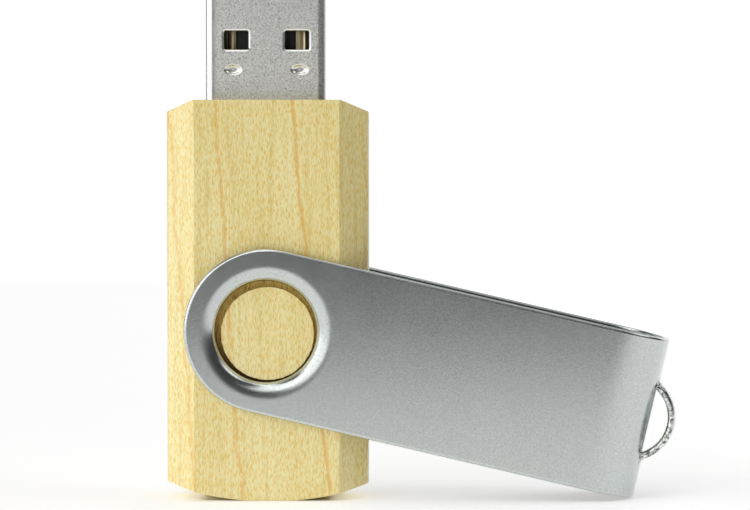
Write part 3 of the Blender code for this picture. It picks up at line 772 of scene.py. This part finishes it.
def make_clip():
    """One folded sheet: made about the middle of its round end, then turned into place."""
    data = bmesh.new()
    for side in (-1, 1):
        add_eye(data, side)
        add_arm(data, side)
    add_fold(data)
    bmesh.ops.remove_doubles(data, verts=data.verts, dist=0.001 * MM)
    clip = add_object("folded_clip", data)
    thickness = clip.modifiers.new("sheet", "SOLIDIFY")
    thickness.thickness = SHEET
    thickness.offset = 0.0
    thickness.use_even_offset = True
    apply_modifiers(clip)
    round_rims(clip)
    for plating in (satin_plate("satin_plate", 1.0), sheared_edge(),
                    satin_plate("satin_plate_painted_shade", 0.40)):
        clip.data.materials.append(plating)
    # Faces on the arms' insides and inside the fold take the darker copy (index 2): painted
    # shade.
    for face in clip.data.polygons:
        inward = max(-math.copysign(1.0, face.center.y) * face.normal.y, -face.normal.x)
        if face.center.x > FOLD_X + FOLD_DEPTH + SHEET / 2:
            face.material_index = 1 if abs(face.normal.y) > 0.3 else 0
        elif abs(face.normal.z) < 0.5 and inward > 0.6 and (
                face.center.x > FOLD_X or abs(face.normal.y) > 0.9):
            face.material_index = 2
    clip.data.transform(Matrix.Translation(PIVOT) @ Matrix.Rotation(CLIP_ANGLE, 4, "Y")
                        @ Matrix.Translation(-PIVOT_SHIFT))
    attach(clip, "clip")
    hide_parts("swivel_clip")


# ---------------------------------------------------------------- plug

def oval(centre, width, height, steps):
    """A closed outline of an ellipse."""
    return [(centre[0] + width / 2 * math.cos(2 * math.pi * step / steps),
             centre[1] + height / 2 * math.sin(2 * math.pi * step / steps))
            for step in range(steps)]


def press_dimple(shell, name, centre, front, steps=48):
    """Cut an oval out of the front sheet and close it again with a pressed-in dish."""
    rim = oval(centre, DIMPLE_LENGTH, DIMPLE_HEIGHT, steps)
    cut(shell, [prism(name, rim, front - MM, front + 0.5 * MM, "Y")])
    data = bmesh.new()
    data.from_mesh(shell.data)
    on_wall = [face for face in data.faces
               if all(abs(math.hypot((v.co.x - centre[0]) / (DIMPLE_LENGTH / 2),
                                     (v.co.z - centre[1]) / (DIMPLE_HEIGHT / 2)) - 1.0) < 0.01
                      for v in face.verts)]
    bmesh.ops.delete(data, geom=on_wall, context="FACES_ONLY")
    profile = [(1.0, 0.0), (0.93, 0.025), (0.86, 0.10), (0.78, 0.25), (0.70, 0.47), (0.62, 0.70),
               (0.54, 0.87), (0.46, 0.96), (0.36, 1.0), (0.18, 1.0)]
    for level, turned in ((front, 1), (front + SHELL_SHEET, -1)):
        rings = []
        for reach, part in profile:
            y = level + DIMPLE_DEPTH * part
            rings.append([data.verts.new((centre[0] + (x - centre[0]) * reach, y,
                                          centre[1] + (z - centre[1]) * reach))
                          for x, z in rim][::turned])
        for outer, inner in zip(rings, rings[1:]):
            for index in range(steps):
                after = (index + 1) % steps
                wall = data.faces.new((outer[index], outer[after], inner[after], inner[index]))
                wall.material_index = 1
        data.faces.new(rings[-1])
    bmesh.ops.remove_doubles(data, verts=data.verts, dist=0.002 * MM)
    bmesh.ops.recalc_face_normals(data, faces=data.faces)
    data.to_mesh(shell.data)
    data.free()


def roll_edges(shell, middle, front, back, top):
    """Break every sheet edge a little, and roll the windows' outer edges over more widely."""
    slack = 0.01 * MM

    def width_at(first, last):
        centre = (first + last) / 2
        across = abs(abs(centre.x - middle.x - PRESSING_SHIFT_X) - WINDOW_X)
        along = abs(centre.z - (top - WINDOW_FROM_TIP))
        at_window = across < WINDOW.x / 2 + slack and along < WINDOW.z / 2 + slack
        outside = min(abs(centre.y - front), abs(centre.y - back)) < slack
        return WINDOW_RIM if at_window and outside else SHELL_RIM

    weighted_bevel(shell, WINDOW_RIM, 60.0, width_at, 5, use_clamp_overlap=False, material=1)


def make_shell():
    """The plug's tube of sheet, with its windows, seam and pressed dimples."""
    low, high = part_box("usb_shell")
    middle = (low + high) / 2
    width, depth = high.x - low.x, high.y - low.y
    at = (middle.x, middle.y)
    bottom, top = low.z, high.z
    outside = rounded_outline(rectangle(width, depth, at), SHELL_CORNER, 10)
    inside = rounded_outline(rectangle(width - 2 * SHELL_SHEET, depth - 2 * SHELL_SHEET, at),
                             SHELL_CORNER - SHELL_SHEET, 10)
    shell = prism("plug_shell", outside, bottom, top, "Z")
    tools = [prism("shell_bore", inside, bottom - MM, top + MM, "Z")]
    for side, name in ((-1, "left_window"), (1, "right_window")):
        centre = (middle.x + PRESSING_SHIFT_X + side * WINDOW_X, top - WINDOW_FROM_TIP)
        outline = rounded_outline(rectangle(WINDOW.x, WINDOW.z, centre), WINDOW_CORNER, 8)
        tools.append(prism(name, outline, low.y - MM, high.y + MM, "Y"))
    tools.append(seam_tool(middle, high.y, bottom, top))
    cut(shell, tools)
    shell.data.materials.clear()
    shell.data.materials.append(matt_nickel())
    shell.data.materials.append(burnished_nickel())
    roll_edges(shell, middle, low.y, high.y, top)
    for side, name in ((-1, "left_dimple"), (1, "right_dimple")):
        press_dimple(shell, name, (middle.x + PRESSING_SHIFT_X + side * DIMPLE_X,
                                   top - DIMPLE_FROM_TIP), low.y)
    even_shading(shell)
    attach(shell, "drive")
    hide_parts("usb_shell")


def offset_path(path, distance):
    """The path moved to its left by the distance, with mitred corners."""
    moved = []
    for index, point in enumerate(path):
        here = Vector(point)
        into = (here - Vector(path[index - 1])).normalized() if index else None
        out = (Vector(path[index + 1]) - here).normalized() if index + 1 < len(path) else into
        into = into or out
        normal = (Vector((-into.y, into.x)) + Vector((-out.y, out.x))).normalized()
        moved.append(here + normal * (distance / normal.dot(Vector((-out.y, out.x)))))
    return moved


def seam_tool(middle, back, bottom, top):
    """A thin cutter for the back seam, with a dovetail that locks its two edges."""
    lock = top - SEAM_LOCK_FROM_TIP
    path = [(middle.x + x * MM, z) for x, z in (
        (0.0, bottom - MM), (0.0, lock - 1.1 * MM), (1.2, lock - 1.6 * MM),
        (1.2, lock + 1.6 * MM), (0.0, lock + 1.1 * MM), (0.0, top + MM))]
    outline = offset_path(path, SEAM_GAP / 2) + offset_path(path, -SEAM_GAP / 2)[::-1]
    return prism("seam", outline, back - 0.8 * MM, back + 0.5 * MM, "Y")


def make_carrier():
    """The black moulding: a tongue with a channel for each contact, and a rear block."""
    low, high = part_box("contact_carrier")
    tongue_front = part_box(CONTACTS[0])[1].y - CONTACT_SHEET
    block_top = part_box("usb_shell")[1].z - BLOCK_FROM_TIP
    side_view = [(low.y, low.z), (high.y, low.z), (high.y, high.z), (tongue_front, high.z),
                 (tongue_front, block_top), (low.y, block_top)]
    moulding = prism("tongue_moulding", side_view, low.x - 0.2 * MM, high.x + 0.2 * MM, "X")
    tools = []
    for name in CONTACTS:
        strip_low, strip_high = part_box(name)
        channel = rectangle(strip_high.x - strip_low.x + 2 * CHANNEL_GAP, CHANNEL_DEPTH,
                            ((strip_low.x + strip_high.x) / 2,
                             strip_high.y - CONTACT_SHEET - 0.49 * MM))
        tools.append(prism(name + "_channel", channel, low.z - MM, strip_high.z + 0.1 * MM, "Z"))
    cut(moulding, tools)
    soften_edges(moulding, 0.08 * MM, 40.0, segments=2)
    moulding.data.materials.clear()
    moulding.data.materials.append(moulded("carrier_black", (0.022, 0.022, 0.021), 0.42))
    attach(moulding, "drive")
    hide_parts("contact_carrier")


def make_contacts():
    """Four stamped strips, each a little crowned across its width."""
    gold = gold_flash()
    slices = 8
    for name in CONTACTS:
        low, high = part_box(name)
        crest = 1.1 if (low.x + high.x) / 2 > 2.0 * MM else 0.35     # in half widths, towards +X
        front, tail = high.y - CONTACT_SHEET, low.y + CONTACT_SHEET
        outline = [(front, high.z), (high.y, high.z), (high.y, JOG_TOP), (tail, JOG_BOTTOM),
                   (tail, low.z), (low.y, low.z), (low.y, JOG_BOTTOM), (front, JOG_TOP)]
        data = bmesh.new()
        rings = []
        for step in range(slices + 1):
            across = 2.0 * step / slices - 1.0
            drop = CONTACT_CROWN * (across - crest) ** 2
            x = (low.x + high.x) / 2 + across * (high.x - low.x) / 2
            rings.append([data.verts.new((x, y + (drop if y == front else 0.0),
                                          z - (drop if z == high.z else 0.0)))
                          for y, z in outline])
        data.faces.new(rings[0])
        data.faces.new(rings[-1])
        for here, after in zip(rings, rings[1:]):
            for index in range(len(outline)):
                following = (index + 1) % len(outline)
                data.faces.new((here[index], here[following], after[following], after[index]))
        strip = add_object("gold_" + name, data)
        soften_edges(strip, 0.04 * MM, 35.0, segments=2)
        strip.data.materials.append(gold)
        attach(strip, "drive")
        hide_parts(name)


def dress_inner_pieces():
    """The pieces sealed in the pocket keep their shape and get procedural materials."""
    finishes = {
        "circuit_board": solder_mask(),
        "controller_chip": moulded("chip_resin", (0.035, 0.035, 0.035), 0.6, 8.0),
        "quartz_crystal": plated_can(),
        "capacitor": moulded("capacitor_brown", (0.45, 0.31, 0.18), 0.5, 10.0),
        "resistor": moulded("resistor_glaze", (0.05, 0.05, 0.06), 0.4, 10.0),
        "epoxy_anchor": moulded("amber_epoxy", (0.55, 0.48, 0.32), 0.28, 1.2, 0.03 * MM),
    }
    finishes["flash_memory_chip"] = finishes["controller_chip"]
    finishes["supply_ferrite"] = finishes["resistor"]
    for name, node in frame["nodes"].items():
        material = finishes.get(name) or finishes.get(name.rsplit("_", 1)[0])
        if material is not None:
            node.data.materials.clear()
            node.data.materials.append(material)


# ---------------------------------------------------------------- studio

def contact_shadow_mask(recipe):
    """Painted contact shadow: no light comes up through the table where the body stands on it."""
    axes = recipe.add("SeparateXYZ", {"Vector": recipe.place(per_mm(1.0))}).outputs
    squares = []
    for axis, reach in zip(axes, UNLIT_HALF_MM):
        beyond = recipe.math("SUBTRACT", recipe.math("ABSOLUTE", axis), reach)
        beyond = recipe.math("MAXIMUM", beyond, 0.0)
        squares.append(recipe.math("MULTIPLY", beyond, beyond))
    distance = recipe.math("SQRT", recipe.math("ADD", *squares))
    return recipe.ramp(recipe.math("MULTIPLY", distance, 0.1),
                       [(0.0, 0.0), (0.10, 0.7), (0.30, 1.0)])


def make_floor():
    """A white light table that ends a little way in front of the drive."""
    front, left, right, back = TABLE_EDGES
    data = bmesh.new()
    data.faces.new([data.verts.new(corner) for corner in
                    ((left, front, 0.0), (right, front, 0.0), (right, back, 0.0),
                     (left, back, 0.0))])
    floor = add_object("light_table", data)
    floor.location.z = -TABLE_DROP
    recipe = Recipe("white_acrylic")
    cloud = recipe.noise(recipe.place(per_mm(0.05)), detail=2.0)
    recipe.set(Base_Color=recipe.ramp(cloud, [(0.3, 0.89), (0.7, 0.90)]), Roughness=0.6)
    recipe.shader.inputs["Emission Color"].default_value = (1.0, 1.0, 1.0, 1.0)
    glow = recipe.math("MULTIPLY", contact_shadow_mask(recipe), FLOOR_GLOW)
    recipe.feed(recipe.shader.inputs["Emission Strength"], glow)
    floor.data.materials.append(recipe.material)


class SkyMap:
    """Soft-edged patches of light, placed by azimuth and elevation in degrees.

    Azimuth 0 is towards -Y, in front of the drive, and 90 is towards +X.
    """

    def __init__(self, tree):
        self.tree = tree
        axes = self.node("SeparateXYZ")
        tree.links.new(self.node("TexCoord").outputs["Generated"], axes.inputs[0])
        x, y, z = axes.outputs
        front = self.math("MULTIPLY", y, -1.0)
        self.azimuth = self.math("DEGREES", self.math("ARCTAN2", x, front))
        self.elevation = self.math("DEGREES", self.math("ARCSINE", z))

    def node(self, kind):
        return self.tree.nodes.new("ShaderNode" + kind)

    def math(self, operation, *values):
        node = self.node("Math")
        node.operation = operation
        for socket, value in zip(node.inputs, values):
            if isinstance(value, bpy.types.NodeSocket):
                self.tree.links.new(value, socket)
            else:
                socket.default_value = value
        return node.outputs[0]

    def step(self, value, start, end):
        """Rises smoothly from 0 at start to 1 at end, which may be the lower of the two."""
        node = self.node("MapRange")
        node.interpolation_type = "SMOOTHSTEP"
        self.tree.links.new(value, node.inputs["Value"])
        node.inputs["From Min"].default_value = start
        node.inputs["From Max"].default_value = end
        return node.outputs["Result"]

    def patch(self, level, azimuths, elevations, soft):
        """One patch: azimuths and elevations are (low, high) at half brightness."""
        edges = [self.step(self.azimuth, azimuths[0] - soft, azimuths[0] + soft),
                 self.step(self.azimuth, azimuths[1] + soft, azimuths[1] - soft),
                 self.step(self.elevation, elevations[0] - soft, elevations[0] + soft),
                 self.step(self.elevation, elevations[1] + soft, elevations[1] - soft)]
        product = level
        for edge in edges:
            product = self.math("MULTIPLY", edge, product)
        return product


def make_world():
    """A white tent with a dim opening in front, where the viewer stands."""
    world = bpy.data.worlds.new("studio")
    bpy.context.scene.world = world
    world.use_nodes = True
    tree = world.node_tree
    sky = SkyMap(tree)
    total = None
    for level, azimuths, elevations, soft in SKY_PATCHES:
        patch = sky.patch(level, azimuths, elevations, soft)
        total = patch if total is None else sky.math("ADD", total, patch)
    total = sky.math("ADD", total, SKY_LEVEL)
    seen = sky.node("LightPath").outputs["Is Camera Ray"]
    total = sky.math("ADD", sky.math("MULTIPLY", total, sky.math("SUBTRACT", 1.0, seen)), seen)
    background = tree.nodes["Background"]
    tree.links.new(total, background.inputs["Strength"])
    background.inputs["Color"].default_value = (1.0, 1.0, 1.0, 1.0)


def make_camera():
    """The photograph's viewing angle, a third of a metre in front of the drive."""
    camera = bpy.data.cameras.new("camera")
    camera.lens = CAMERA_LENS
    camera.sensor_width = 36.0
    camera.clip_start = 0.01
    camera.clip_end = 20.0
    item = bpy.data.objects.new("camera", camera)
    item.location = CAMERA_PLACE
    item.rotation_euler = (math.radians(90.0 - CAMERA_DIP), 0.0, math.radians(CAMERA_TURN))
    bpy.context.scene.collection.objects.link(item)
    bpy.context.scene.camera = item


make_wood()
make_clip()
make_shell()
make_carrier()
make_contacts()
dress_inner_pieces()
make_floor()
make_world()
make_camera()
bpy.context.scene.view_settings.view_transform = "Standard"
